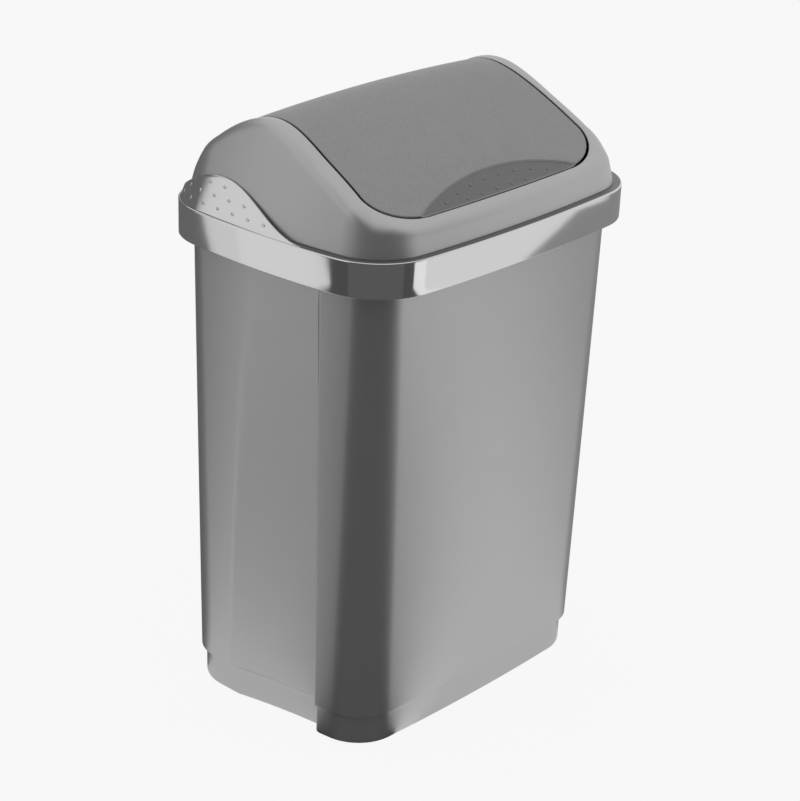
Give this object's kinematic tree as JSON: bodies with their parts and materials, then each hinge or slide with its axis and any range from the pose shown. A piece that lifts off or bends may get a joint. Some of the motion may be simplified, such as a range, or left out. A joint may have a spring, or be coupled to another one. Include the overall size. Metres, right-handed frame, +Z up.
{
  "type": "trash can",
  "caption": "Satin grey plastic kitchen bin with a stepped foot, a polished collar with dotted grip wings, and a domed hood with a free-swinging flap.",
  "frame": {"origin": "on the floor under the middle of the can", "axes": "+Z up, X along the hinge of the flap, -Y towards the front with the crescent push area"},
  "size_m": [0.34, 0.257, 0.5147],
  "materials": {
    "bucket_plastic": "satin silver-grey polypropylene",
    "collar_gloss": "polished silver-grey plastic",
    "hood_plastic": "satin silver-grey polypropylene",
    "flap_plastic": "fine-grained silver-grey polypropylene"
  },
  "bodies": {
    "bin": {"bin_body": "bucket_plastic"},
    "lid": {"gloss_collar": "collar_gloss", "hood": "hood_plastic"},
    "flap": {"swing_flap": "flap_plastic"}
  },
  "joints": [
    {"name": "lid_lift", "type": "slide", "parent": "bin", "child": "lid", "axis": [0, 0, 1], "range_m": [0, 0.12]},
    {"name": "flap_swing", "type": "hinge", "parent": "lid", "child": "flap", "pos_m": [0, -0.00456, 0.495], "axis": [1, 0, 0], "range_deg": [-75, 75]}
  ]
}
